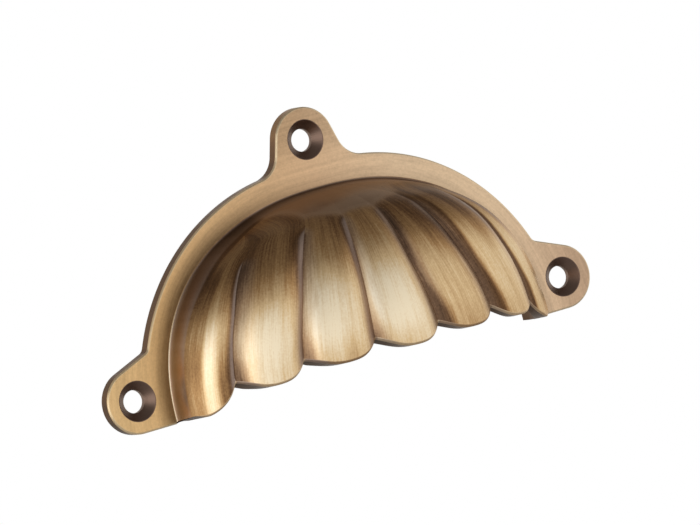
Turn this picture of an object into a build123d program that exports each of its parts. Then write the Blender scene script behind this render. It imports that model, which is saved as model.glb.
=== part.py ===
from build123d import *
import math
import os

# One-piece cast brass shell pull, in millimetres.
# The back face lies in the plane Y=0, the front faces -Y, Z is up and the origin is
# midway between the two lower screw holes.

# Shell: the arch of its foot on the flange, its reach and its wall
arch_half_width = 39.3
arch_rise = 34.7
arch_power = 2.25
shell_depth = 21.0
cove_radius = 2.0
wall = 2.4
flute_ratio = 0.17
inner_flute_ratio = 0.13

# Flange: the flat land left round the shell, at the sides and at the top
flange_thickness = 2.5
flange_drop = 6.0
arch_drop = 6.6
side_land = 5.2
top_land = 4.7
edge_bevel = 0.35

# Lugs: how far the screw holes stand outside the ring of the flange
side_reach = 1.5
top_reach = 4.7
lug_radius = 6.0
lug_flare = 21.0
lug_fillet = 1.6
top_lug_radius = 6.05
top_lug_flare = 16.5
top_lug_fillet = 3.2

# Screw holes
hole_radius = 2.1
sink_radius = 3.65
sink_angle = 90.0

# Mouth: heights of the notches at the grooves and of the flute ends, and the slope of the end faces
mouth_slope = 3.5
notch_heights = (-1.5, -0.85, -0.73, -0.73, -0.85, -1.5)
crest_heights = (-3.85, -3.2, -3.5, -3.3, -3.95)
mouth_end = 7.5

# Derived places
front_y = -flange_thickness
root_y = front_y + 1.9
flange_bottom_z = -flange_drop
arch_centre_z = -arch_drop
shell_top_z = arch_centre_z + arch_rise - 0.2
ring_radius = arch_rise + top_land
ring_centre_x = arch_half_width + side_land - ring_radius
lug_x = arch_half_width + side_land + side_reach
top_hole_z = arch_centre_z + ring_radius + top_reach


def smooth(value, low, high):
    """Rise from 0 to 1 between low and high without a corner."""
    t = min(max((value - low) / (high - low), 0.0), 1.0)
    return t * t * (3 - 2 * t)


def share_of_height(z):
    """Height above the screw line as a share of the height of the shell."""
    return max(z, 0.0) / shell_top_z


def arch_points(half_width, rise):
    """Points of an arch curve from its left foot over the top to its right foot."""
    points = [(-half_width, arch_centre_z)]
    for step in range(1, 24):
        angle = math.pi * (1 - step / 24)
        across = abs(math.cos(angle)) ** (2 / arch_power) * half_width
        height = math.sin(angle) ** (2 / arch_power) * rise
        points.append((math.copysign(across, math.cos(angle)), arch_centre_z + height))
    points.append((half_width, arch_centre_z))
    return points


def arch_width(z):
    """Half width of the foot of the shell at height z."""
    share = min(max((z - arch_centre_z) / arch_rise, 0.0), 1.0) ** arch_power
    return arch_half_width * (1 - share) ** (1 / arch_power)


def groove_depth(z):
    """Depth of the middle of the shell in front of the flange, measured in the grooves."""
    return shell_depth * (1 - share_of_height(z) ** 1.6) ** (1 / 3)


def groove_fractions(z):
    """Where the six grooves and the two feet stand across the half width at height z."""
    h = share_of_height(z)
    inner = 0.172 - 0.022 * smooth(h, 0.0, 0.54)
    middle = 0.512 - 0.036 * smooth(h, 0.0, 0.54)
    outer = 0.805 + 0.035 * smooth(h, 0.36, 0.79)
    return (-1.0, -outer, -middle, -inner, inner, middle, outer, 1.0)


def fluted_section(z, inset, ratio, foot_y, back_y):
    """Level section of seven arcs in front of foot_y, closed at back_y and drawn in by inset."""
    h = share_of_height(z)
    power = 1.72 + 0.243 * h + 0.584 * h * h
    width = arch_width(z) - inset
    deep = groove_depth(z) - inset
    cusps = []
    for fraction in groove_fractions(z):
        forward = (1 - abs(fraction) ** power) ** (1 / power) * deep
        cusps.append(Vector(fraction * width, foot_y - forward))
    fade = 1 - 0.55 * smooth(h, 0.57, 0.93)
    with BuildSketch(Plane.XY.offset(z)) as section:
        with BuildLine():
            for start, end in zip(cusps[:-1], cusps[1:]):
                chord = end - start
                outward = Vector(chord.Y, -chord.X).normalized()
                middle = (start + end) / 2 + outward * (ratio * chord.length * fade)
                ThreePointArc(start, middle, end)
            Polyline(cusps[-1], (cusps[-1].X, back_y), (cusps[0].X, back_y), cusps[0])
        make_face()
    return section.sketch


def ring_corner(start_x, start_z, step_x, step_z):
    """Point where a line from the start along a unit step first meets the right half of the ring."""
    from_x = start_x - ring_centre_x
    from_z = start_z - arch_centre_z
    along = from_x * step_x + from_z * step_z
    over = from_x ** 2 + from_z ** 2 - ring_radius ** 2
    reach = -along - math.sqrt(max(along ** 2 - over, 0.0))
    if start_x + reach * step_x < ring_centre_x:
        reach = (ring_radius - from_z) / step_z
    return start_x + reach * step_x, start_z + reach * step_z


# Flange with its three lugs
with BuildPart() as flange:
    with BuildSketch(Plane.XZ):
        with BuildLine():
            left_end = (-ring_centre_x - ring_radius, arch_centre_z)
            left_top = (-ring_centre_x, arch_centre_z + ring_radius)
            right_top = (ring_centre_x, arch_centre_z + ring_radius)
            right_end = (ring_centre_x + ring_radius, arch_centre_z)
            RadiusArc(left_end, left_top, ring_radius)
            Line(left_top, right_top)
            RadiusArc(right_top, right_end, ring_radius)
            Line(right_end, left_end)
        make_face()
        with Locations((-lug_x, 0), (lug_x, 0)):
            Circle(lug_radius)
        with Locations((0, top_hole_z)):
            Circle(top_lug_radius)
        flare = math.radians(lug_flare)
        touch_x = lug_x + lug_radius * math.sin(flare)
        touch_z = lug_radius * math.cos(flare)
        inner_x = arch_half_width
        inner_z = touch_z + (touch_x - inner_x) * math.tan(flare)
        for side in (-1, 1):
            with BuildLine():
                Polyline(
                    (side * touch_x, touch_z),
                    (side * inner_x, inner_z),
                    (side * inner_x, flange_bottom_z),
                    (side * lug_x, flange_bottom_z),
                    (side * lug_x, 0),
                    close=True,
                )
            make_face()
        taper = math.radians(top_lug_flare)
        flank_x = top_lug_radius * math.cos(taper)
        flank_z = top_hole_z + top_lug_radius * math.sin(taper)
        foot_z = arch_centre_z + ring_radius - top_land / 2
        foot_x = flank_x + (flank_z - foot_z) * math.tan(taper)
        with BuildLine():
            Polyline(
                (-flank_x, flank_z),
                (flank_x, flank_z),
                (foot_x, foot_z),
                (-foot_x, foot_z),
                close=True,
            )
        make_face()
        with Locations((0, flange_bottom_z - ring_radius)):
            Rectangle(4 * lug_x, 2 * ring_radius, mode=Mode.SUBTRACT)
    extrude(amount=flange_thickness)
    low_x, low_z = ring_corner(touch_x, touch_z, -math.cos(flare), math.sin(flare))
    high_x, high_z = ring_corner(flank_x, flank_z, math.sin(taper), -math.cos(taper))
    for corner_x, corner_z, radius in ((low_x, low_z, lug_fillet), (high_x, high_z, top_lug_fillet)):
        upright = flange.edges().filter_by(Axis.Y)
        corners = [upright.sort_by_distance((x, front_y / 2, corner_z))[0] for x in (-corner_x, corner_x)]
        fillet(corners, radius)

# Smooth dome under the flutes; it carries the plain top of the shell
with BuildPart() as dome:
    for forward, side_grow, top_grow in (
        (-1.9, 0.3, 0.2),
        (0.0, 0.0, 0.0),
        (4.0, -2.7, -0.7),
        (8.0, -7.3, -1.9),
        (12.0, -14.3, -4.1),
        (15.0, -21.3, -8.7),
    ):
        with BuildSketch(Plane.XZ.offset(flange_thickness + forward)):
            with BuildLine():
                outline = arch_points(arch_half_width + side_grow, arch_rise + top_grow)
                Spline(*outline)
                Line(outline[-1], outline[0])
            make_face()
    loft()
    with Locations((0, 0, flange_bottom_z - arch_rise)):
        Box(4 * lug_x, 4 * shell_depth, 2 * arch_rise, mode=Mode.SUBTRACT)

# Dome on the flange, with the cove round its foot and the bevelled outer edge
with BuildPart() as body:
    add(flange.part)
    add(dome.part)
    front_edges = body.edges().filter_by(lambda e: abs(e.center().Y - front_y) < 0.01)
    fillet(front_edges.filter_by(GeomType.BSPLINE), cove_radius)
    front_edges = body.edges().filter_by(lambda e: abs(e.center().Y - front_y) < 0.01)
    top_of_lug = (0, front_y, top_hole_z + top_lug_radius)
    chamfer(front_edges.sort_by_distance(top_of_lug)[:1], edge_bevel)

# Seven flutes that sink into the dome near the top
with BuildPart() as flutes:
    for h in (flange_bottom_z / shell_top_z, 0.0, 0.215, 0.43, 0.61, 0.75, 0.86, 0.93, 0.968):
        sunk = 3.6 * smooth(h, 0.806, 0.986)
        add(fluted_section(h * shell_top_z, sunk, flute_ratio, front_y - 0.1, root_y))
    loft()

# Hollow inside, vaulted at the top, open at the back and below
with BuildPart() as hollow:
    for h in ((flange_bottom_z - 2.0) / shell_top_z, 0.0, 0.215, 0.43, 0.61, 0.735, 0.824, 0.882, 0.91):
        vault = 6.0 * (max(h - 0.645, 0.0) / 0.272) ** 3
        add(fluted_section(h * shell_top_z, wall + vault, inner_flute_ratio, front_y, 2.0))
    loft()

# Scalloped cut of the mouth, drawn along the slope of its end faces
slope = math.radians(mouth_slope)
mouth_plane = Plane(
    origin=(0, front_y, 0),
    x_dir=(1, 0, 0),
    z_dir=(0, -math.cos(slope), math.sin(slope)),
)
notch_x = [fraction * arch_width(0.0) for fraction in groove_fractions(0.0)[1:-1]]
notches = [(x, height * math.cos(slope)) for x, height in zip(notch_x, notch_heights)]
with BuildPart() as mouth:
    with BuildSketch(mouth_plane):
        with BuildLine():
            end_x = notch_x[-1] + mouth_end
            end_v = (flange_bottom_z - 0.1) * math.cos(slope)
            far_x = 2 * lug_x
            far_v = end_v - arch_rise
            Polyline((-far_x, far_v), (-far_x, end_v), (-end_x, end_v))
            TangentArc((-end_x, end_v), notches[0], tangent=(1, 0))
            for left, right, crest in zip(notches[:-1], notches[1:], crest_heights):
                ThreePointArc(left, ((left[0] + right[0]) / 2, crest * math.cos(slope)), right)
            TangentArc((end_x, end_v), notches[-1], tangent=(-1, 0))
            Polyline((end_x, end_v), (far_x, end_v), (far_x, far_v), (-far_x, far_v))
        make_face()
    extrude(amount=3 * shell_depth, both=True)

# The casting
with BuildPart() as cup_pull:
    add(body.part)
    add(flutes.part)
    add(hollow.part, mode=Mode.SUBTRACT)
    add(mouth.part, mode=Mode.SUBTRACT)
    hole_planes = [
        Plane(origin=(x, front_y, z), x_dir=(1, 0, 0), z_dir=(0, -1, 0))
        for x, z in ((-lug_x, 0), (lug_x, 0), (0, top_hole_z))
    ]
    with Locations(*hole_planes):
        CounterSinkHole(
            radius=hole_radius,
            counter_sink_radius=sink_radius,
            depth=4 * flange_thickness,
            counter_sink_angle=sink_angle,
        )

cup_pull.part.label = "cup_pull"
os.makedirs("parts", exist_ok=True)
export_step(cup_pull.part, "parts/cup_pull.step")
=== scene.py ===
"""Looks of a fluted shell drawer pull: one brass casting, dressed from numpy surfaces on its CAD frame.

The casting's sizes are in millimetres, as in the part's source, and turn into metres where a mesh is made.
"""

import logging
import math
from dataclasses import dataclass, field
from enum import Enum
from functools import partial, reduce
from typing import Union

import bpy
import numpy as np
from mathutils import Matrix, Vector
from mathutils.geometry import delaunay_2d_cdt

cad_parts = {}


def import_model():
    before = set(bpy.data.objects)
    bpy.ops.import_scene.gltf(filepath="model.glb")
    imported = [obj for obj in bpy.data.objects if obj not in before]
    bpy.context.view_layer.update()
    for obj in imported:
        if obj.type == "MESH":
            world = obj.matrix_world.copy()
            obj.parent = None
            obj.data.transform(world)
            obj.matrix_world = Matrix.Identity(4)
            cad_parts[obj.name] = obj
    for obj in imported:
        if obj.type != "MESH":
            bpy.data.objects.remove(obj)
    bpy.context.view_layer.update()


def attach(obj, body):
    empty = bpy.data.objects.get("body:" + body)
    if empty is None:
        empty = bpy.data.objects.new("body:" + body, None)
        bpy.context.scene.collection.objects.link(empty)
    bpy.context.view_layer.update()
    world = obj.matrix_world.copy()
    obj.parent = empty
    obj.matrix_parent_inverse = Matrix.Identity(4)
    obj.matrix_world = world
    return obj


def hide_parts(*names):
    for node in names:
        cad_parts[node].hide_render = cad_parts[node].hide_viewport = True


LOG = logging.getLogger("shell_pull")
MM = 0.001
ROUND_POINTS = 64
HALVINGS = 36
NO_LENGTH = 1e-9
NO_AREA = 1e-7
TOUCH = 1e-6
SAME_POINT = 1e-5
WELD_DIGITS = 3
MARKS = ("flute", "flow", "groove", "roof", "cove", "shell", "wear", "line")

Array = np.ndarray
Socket = bpy.types.NodeSocket
Value = Union[Socket, str, float, tuple[float, ...]]
Colour = tuple[float, float, float]
Colours = tuple[tuple[float, Colour], ...]
Limits = tuple[float, ...]

FRONT = np.array([0.0, -1.0, 0.0])
DOWN = np.array([0.0, 0.0, -1.0])
TO_BACK = np.array([1.0, 0.0, 1.0])
MIRROR = np.array([-1.0, 1.0])
QUARTER = np.radians(np.linspace(0.0, 90.0, 7))


class Zone(Enum):
    """Parts of the casting's skin that the finish colours in their own way; the underside takes a painted
    shade.
    """

    FLANGE = 0.0
    SHELL = 1.0
    EDGE = 2.0
    INSIDE = 3.0
    SINK = 4.0
    UNDER = 5.0


def smooth(value: Array, low: float, high: float) -> Array:
    """Rise from 0 to 1 between low and high without a corner."""
    t = np.clip((np.asarray(value, float) - low) / (high - low), 0.0, 1.0)
    return t * t * (3.0 - 2.0 * t)


def soft_max(first: Array, second: Array, reach: float) -> Array:
    """Larger of two heights, with the corner between them rounded over the reach."""
    near = np.clip(reach - np.abs(first - second), 0.0, None) / reach
    return np.maximum(first, second) + near * near * reach / 4.0


def unit(vectors: Array) -> Array:
    """Vectors of length one; a vector with no length stays as it is."""
    length = np.linalg.norm(vectors, axis=-1, keepdims=True)
    return vectors / np.where(length < NO_LENGTH, 1.0, length)


def arc(centre: tuple[float, float], radius: float, start: float, end: float, step: float) -> Array:
    """Points of an arc from one angle to another, in degrees, about a step apart.

    Args:
        centre: Centre (x, z).
        radius: Radius.
        start: First angle.
        end: Last angle.
        step: Rough distance between two points.

    Returns:
        Points (x, z), both ends among them.
    """
    count = max(int(abs(math.radians(end - start)) * radius / step), 4)
    angle = np.radians(np.linspace(start, end, count + 1))
    return np.stack([centre[0] + radius * np.cos(angle), centre[1] + radius * np.sin(angle)], axis=-1)


def circle(x: float, z: float, radius: float) -> Array:
    """Points (x, z) of a whole circle, without the last one that would meet the first."""
    angle = np.arange(ROUND_POINTS) * (2.0 * math.pi / ROUND_POINTS)
    return np.stack([x + radius * np.cos(angle), z + radius * np.sin(angle)], axis=-1)


@dataclass
class Patch:
    """One surface of the casting: points, faces, normals and what the finish needs to know.

    Attributes:
        points: Places of the corners, in millimetres.
        faces: Rows of four corner numbers; a triangle repeats its last one.
        normals: Outward normals at the corners.
        zone: Which part of the skin it is.
        marks: Named numbers at each corner that the finish reads.
    """

    points: Array
    faces: Array
    normals: Array
    zone: Zone
    marks: dict[str, Array] = field(default_factory=dict)


def grid_patch(grid: Array, facing: Array, zone: Zone, marks: dict[str, Array] | None = None) -> Patch:
    """Surface over a grid of points, turned so that it faces the way that it should.

    Args:
        grid: Points in rows and columns, shape (rows, columns, 3).
        facing: Directions that the skin should face, one for all points or one each.
        zone: Which part of the skin it is.
        marks: Named numbers at each point, shape (rows, columns).

    Returns:
        The patch, with normals from the cross product of the two grid directions.
    """
    rows, columns = grid.shape[:2]
    along = np.gradient(grid, axis=0, edge_order=2 if rows > 2 else 1)
    across = np.gradient(grid, axis=1, edge_order=2 if columns > 2 else 1)
    normals = np.cross(across, along)
    flat = np.linalg.norm(normals, axis=-1) < NO_AREA
    for row in range(1, rows):
        normals[row][flat[row]] = normals[row - 1][flat[row]]
    number = np.arange(rows * columns).reshape(rows, columns)
    faces = np.stack([number[:-1, :-1], number[:-1, 1:], number[1:, 1:], number[1:, :-1]], axis=-1)
    faces = faces.reshape(-1, 4)
    normals = unit(normals).reshape(-1, 3)
    if np.sum(normals * np.broadcast_to(facing, grid.shape).reshape(-1, 3)) < 0.0:
        normals = -normals
        faces = faces[:, ::-1]
    flat_marks = {name: np.asarray(values, float).reshape(-1) for name, values in (marks or {}).items()}
    return Patch(grid.reshape(-1, 3), faces, normals, zone, flat_marks)


def plane_patch(loop: Array, inner: Array, holes: list[tuple[float, float, float]], y: float,
                facing: float, zone: Zone) -> Patch:
    """Flat skin in a plane of constant Y, inside a closed outline and outside round holes.

    Args:
        loop: Outline points (x, z) in order.
        inner: More points (x, z) inside the outline that make its triangles even.
        holes: Centre x, centre z and radius of each hole.
        y: Place of the plane.
        facing: -1 for a skin that faces -Y, 1 for one that faces +Y.
        zone: Which part of the skin it is.

    Returns:
        The patch, filled with triangles.
    """
    loops = [loop] + [circle(x, z, radius) for x, z, radius in holes]
    edges = []
    start = 0
    for points in loops:
        edges += [(start + i, start + (i + 1) % len(points)) for i in range(len(points))]
        start += len(points)
    flat = np.concatenate([*loops, inner])
    result = delaunay_2d_cdt([Vector(p) for p in flat], edges, [], 1, TOUCH)
    # The filler rounds its points, so each one goes back to the exact point that it came from
    points = np.array([flat[origin[0]] if origin else tuple(p) for p, origin in zip(result[0], result[3])])
    triangles = np.array([tuple(f) for f in result[2]])
    middle = points[triangles].mean(axis=1)
    keep = np.ones(len(triangles), bool)
    for x, z, radius in holes:
        # The hole's outline has straight sides, which lie a little inside its circle
        keep &= np.hypot(middle[:, 0] - x, middle[:, 1] - z) > radius * math.cos(math.pi / ROUND_POINTS)
    triangles = triangles[keep]
    a, b, c = (points[triangles[:, i]] for i in range(3))
    turn = (b[:, 0] - a[:, 0]) * (c[:, 1] - a[:, 1]) - (b[:, 1] - a[:, 1]) * (c[:, 0] - a[:, 0])
    wrong = turn * -facing < 0.0
    triangles[wrong] = triangles[wrong][:, ::-1]
    faces = np.concatenate([triangles, triangles[:, 2:]], axis=1)
    places = np.stack([points[:, 0], np.full(len(points), y), points[:, 1]], axis=-1)
    normals = np.broadcast_to(np.array([0.0, facing, 0.0]), places.shape).copy()
    return Patch(places, faces, normals, zone)


@dataclass(frozen=True)
class ShellForm:
    """Sizes of the fluted shell in millimetres, and the formulas of its surface.

    A place on the shell is its x, its height z and how far it stands forward of the flange's front face.

    Attributes:
        half_width, rise, centre_z, power: The superellipse of the foot arch.
        top_inset: Share of an inset that counts at the top of the arch.
        depth, top_z, bottom_z: Reach at the rim, height where it ends, and height where the feet end.
        plan_power: Power of the plan curve, as a polynomial of the height.
        crown_power, crown_root: Powers of the curve by which the reach falls with the height.
        grooves: Share of the half width at the rim, its change, and between which heights it changes.
        flute_ratio, flute_power, inner_ratio: Bulge of the flutes, its power, and the bulge inside.
        flat_share, flat_z: Share of the bulge that is lost upwards, and between which heights.
        dome_steps, dome_narrowing, dome_lowering: Five arches of the dome: their reach, and how much they
            are narrower and lower than the foot arch.
        dome_reach, dome_rows: Furthest reach that is read, and in how many rows.
        sink_depth, sink_z: How far the flutes sink at the top, and between which heights.
        roof_corner, roof_lead: Round between flutes and dome, and the dome's lead that makes it roof.
        wall, wall_inset: Thickness of the wall, and how far it stands inside the foot arch.
        vault, vault_z, vault_rise: Thickness added at the top, from which height and over which rise.
        notch_z, crest_z: Heights of the rim at the grooves, and of its lowest points.
        lip_skew, lip_power: Shape of the rim under a flute.
        rim_round: Radius of the rim's outer edge.
        end_slope, lip_drop: Slope of the end face, and its drop away from the lowest points.
        end_reach, heel, heel_reach: Length of the round ends, and the lift of their heels and its limits.
        hollow_top: Height of the hollow.
    """

    half_width: float = 39.3
    rise: float = 34.7
    centre_z: float = -6.6
    power: float = 2.25
    top_inset: float = 0.6
    depth: float = 21.0
    top_z: float = 27.9
    bottom_z: float = -6.0
    plan_power: tuple[float, float, float] = (1.72, 0.0087, 0.00075)
    crown_power: float = 1.6
    crown_root: float = 3.0
    grooves: tuple[tuple[float, float, float, float], ...] = (
        (0.172, -0.022, 0.0, 15.0),
        (0.512, -0.036, 0.0, 15.0),
        (0.805, 0.035, 10.0, 22.0),
    )
    flute_ratio: float = 0.17
    flute_power: float = 2.8
    inner_ratio: float = 0.13
    flat_share: float = 0.55
    flat_z: tuple[float, float] = (16.0, 26.0)
    dome_steps: tuple[float, ...] = (0.0, 4.0, 8.0, 12.0, 15.0)
    dome_narrowing: tuple[float, ...] = (0.0, 2.7, 7.3, 14.3, 21.3)
    dome_lowering: tuple[float, ...] = (0.0, 0.7, 1.9, 4.1, 8.7)
    dome_reach: float = 16.5
    dome_rows: int = 100
    sink_depth: float = 3.6
    sink_z: tuple[float, float] = (22.5, 27.5)
    roof_corner: float = 2.4
    roof_lead: tuple[float, float] = (-1.3, 0.9)
    wall: float = 2.4
    wall_inset: float = 1.0
    vault: float = 6.0
    vault_z: float = 18.0
    vault_rise: float = 7.6
    notch_z: tuple[float, ...] = (-0.95, 0.0, 0.5, 0.25, -0.05, -1.1)
    crest_z: tuple[float, ...] = (-2.9, -2.1, -2.3, -2.2, -3.0)
    lip_skew: float = 1.25
    lip_power: float = 2.5
    rim_round: float = 0.5
    end_slope: float = 0.061
    lip_drop: float = 0.16
    end_reach: float = 7.5
    heel: float = 1.0
    heel_reach: tuple[float, float] = (3.2, 0.8)
    hollow_top: float = 25.4

    def arch_width(self, z: Array, inset: float = 0.0) -> Array:
        """Half width of the foot arch at a height: a superellipse, drawn in by the inset."""
        share = np.clip((z - self.centre_z) / (self.rise - inset * self.top_inset), 0.0, 1.0) ** self.power
        return (self.half_width - inset) * (1.0 - share) ** (1.0 / self.power)

    def arch_height(self, x: Array, inset: float = 0.0) -> Array:
        """Height of the foot arch at an x: the same superellipse, solved for z."""
        share = np.clip(np.abs(x) / (self.half_width - inset), 0.0, 1.0) ** self.power
        return self.centre_z + (self.rise - inset * self.top_inset) * (1.0 - share) ** (1.0 / self.power)

    def arch_normal(self, x: Array, z: Array) -> Array:
        """Outward direction (x, z) of the foot arch: the slope of the superellipse's own equation.

        Args:
            x: Places across.
            z: Heights.

        Returns:
            Unit directions (x, z).
        """
        across = np.sign(x) * np.abs(x) ** (self.power - 1.0) / self.half_width ** self.power
        height = np.clip(z - self.centre_z, 0.0, None) ** (self.power - 1.0) / self.rise ** self.power
        return unit(np.stack([across, height], axis=-1))

    def fractions(self, z: Array) -> Array:
        """Where the two feet and the six grooves stand across the half width, from -1 to 1.

        Args:
            z: Heights.

        Returns:
            Eight shares for each height, from left to right.
        """
        h = np.clip(z, 0.0, None)
        right = [share + change * smooth(h, *heights) for share, change, *heights in self.grooves]
        right.append(np.ones_like(h))
        return np.stack([-share for share in right[::-1]] + right, axis=-1)

    def fluted(self, x: Array, z: Array, inset: Array, ratio: float) -> Array:
        """Forward reach of the flutes: seven bulged chords between points on a superelliptic plan curve.

        The chord of a flute runs between its two grooves. A point at share s of the chord stands off it by
        ratio * chord * (1 - |2s - 1|^p), and s is found by halving so that the point has the wanted x.

        Args:
            x: Places across.
            z: Heights.
            inset: How far the curve is drawn in, for the inside of the wall.
            ratio: Bulge of a flute as a share of its chord.

        Returns:
            Distances forward of the flange's front face.
        """
        h = np.clip(z, 0.0, self.top_z - TOUCH)
        level, slope, bend = self.plan_power
        plan = level + slope * h + bend * h * h
        width = self.arch_width(z) - inset
        deep = self.depth * (1.0 - (h / self.top_z) ** self.crown_power) ** (1.0 / self.crown_root) - inset
        shares = self.fractions(z)
        reach = (1.0 - np.abs(shares) ** plan[..., None]) ** (1.0 / plan[..., None]) * deep[..., None]
        places = shares * width[..., None]
        lobe = (x[..., None] > places[..., 1:-1]).sum(axis=-1)[..., None]
        x0, x1, f0, f1 = (np.take_along_axis(values, lobe + end, -1)[..., 0]
                          for values in (places, reach) for end in (0, 1))
        chord = np.hypot(x1 - x0, f1 - f0)
        bulge = ratio * (1.0 - self.flat_share * smooth(z, *self.flat_z))
        low = np.zeros_like(x)
        high = np.ones_like(x)
        for _ in range(HALVINGS):
            s = (low + high) / 2.0
            off = bulge * (1.0 - np.abs(2.0 * s - 1.0) ** self.flute_power)
            short = x0 + s * (x1 - x0) - off * (f1 - f0) < x
            low = np.where(short, s, low)
            high = np.where(short, high, s)
        s = (low + high) / 2.0
        off = bulge * (1.0 - np.abs(2.0 * s - 1.0) ** self.flute_power)
        return np.where(chord < TOUCH, 0.0, f0 + s * (f1 - f0) + off * (x1 - x0))

    def dome(self, x: Array, z: Array) -> Array:
        """Forward reach of the smooth dome: superelliptic arches that shrink as they stand further forward.

        The widths and rises of five arches fix two curves of the fourth degree, and the reach is where the
        arch through the point lies, read between close steps.

        Args:
            x: Places across.
            z: Heights.

        Returns:
            Distances forward of the flange's front face.
        """
        degree = len(self.dome_steps) - 1
        widths = np.polyfit(self.dome_steps, self.half_width - np.array(self.dome_narrowing), degree)
        rises = np.polyfit(self.dome_steps, self.rise - np.array(self.dome_lowering), degree)
        reach = np.linspace(0.0, self.dome_reach, self.dome_rows)
        across = np.abs(x).reshape(-1, 1) / np.polyval(widths, reach)
        height = np.clip(z - self.centre_z, 0.0, None).reshape(-1, 1) / np.polyval(rises, reach)
        out = across ** self.power + height ** self.power - 1.0
        last = np.clip((out < 0.0).sum(axis=1) - 1, 0, len(reach) - 2)
        row = np.arange(len(out))
        before = out[row, last]
        after = out[row, last + 1]
        share = np.clip(-before / np.where(after - before < NO_LENGTH, 1.0, after - before), 0.0, 1.0)
        return (reach[last] + share * (reach[1] - reach[0])).reshape(x.shape)

    def roof_share(self, x: Array, z: Array) -> Array:
        """Share of the plain roof at a place: 0 on the flutes, 1 where the dome stands clear of them."""
        lead = self.dome(x, z) - self.sunk_flutes(x, z)
        return smooth(lead, *self.roof_lead)

    def sunk_flutes(self, x: Array, z: Array) -> Array:
        """Flutes that sink away near the top of the shell."""
        flutes = self.fluted(x, z, np.zeros_like(x), self.flute_ratio)
        return flutes - self.sink_depth * smooth(z, *self.sink_z)

    def height(self, x: Array, z: Array) -> Array:
        """Forward reach of the shell's outside: the sunk flutes over the dome, with a soft corner between."""
        return soft_max(self.sunk_flutes(x, z), self.dome(x, z), self.roof_corner)

    def hollow(self, x: Array, z: Array) -> Array:
        """Forward reach of the shell's inside: the flutes drawn in by the wall, vaulted at the top."""
        inset = self.hollow_inset(z)
        return np.clip(self.fluted(x, z, inset, self.inner_ratio), 0.0, None)

    def hollow_inset(self, z: Array) -> Array:
        """Thickness between the outside and the inside: the wall, and more towards the top."""
        return self.wall + self.vault * (np.clip(z - self.vault_z, 0.0, None) / self.vault_rise) ** 3

    def hollow_width(self, z: Array) -> Array:
        """Half width of the hollow where it meets the back of the flange."""
        return self.arch_width(z) - self.hollow_inset(z)

    def notch_x(self) -> Array:
        """Places across of the six notches in the rim."""
        zero = np.zeros(1)
        return (self.fractions(zero) * self.arch_width(zero)[:, None])[0, 1:-1]

    def crest_line(self, x: Array) -> Array:
        """Height of a line through the lowest points of the five middle flutes, which ends at the feet.

        Args:
            x: Places across.

        Returns:
            Heights.
        """
        notches = self.notch_x()
        middles = (notches[1:] + notches[:-1]) / 2.0
        places = np.concatenate([[-self.half_width], middles, [self.half_width]])
        return np.interp(x, places, [self.bottom_z, *self.crest_z, self.bottom_z])

    def rim(self, x: Array) -> Array:
        """Height of the rim: a curve under each flute, and round ends that dip to the flange's bottom.

        Args:
            x: Places across.

        Returns:
            Heights.
        """
        notches = self.notch_x()
        lobe = np.clip(np.searchsorted(notches, x) - 1, 0, 4)
        x0 = notches[lobe]
        x1 = notches[lobe + 1]
        z0 = np.array(self.notch_z)[lobe]
        z1 = np.array(self.notch_z)[lobe + 1]
        s = np.clip((x - x0) / (x1 - x0), 0.0, 1.0)
        dip = (z0 + z1) / 2.0 - np.array(self.crest_z)[lobe]
        middle = z0 + s * (z1 - z0) - dip * (1.0 - np.abs(2.0 * s ** self.lip_skew - 1.0) ** self.lip_power)
        drop = np.where(x < 0.0, self.notch_z[0], self.notch_z[-1]) - self.bottom_z
        radius = (self.end_reach ** 2 + drop ** 2) / (2.0 * drop)
        side = np.clip(np.abs(x) - notches[-1], 0.0, self.end_reach)
        end = self.bottom_z + radius - np.sqrt(radius ** 2 - (self.end_reach - side) ** 2)
        far, close = (self.half_width - reach for reach in self.heel_reach)
        end = end + self.heel * smooth(np.abs(x), far, close)
        return np.where(np.abs(x) > notches[-1], end, middle)


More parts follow.
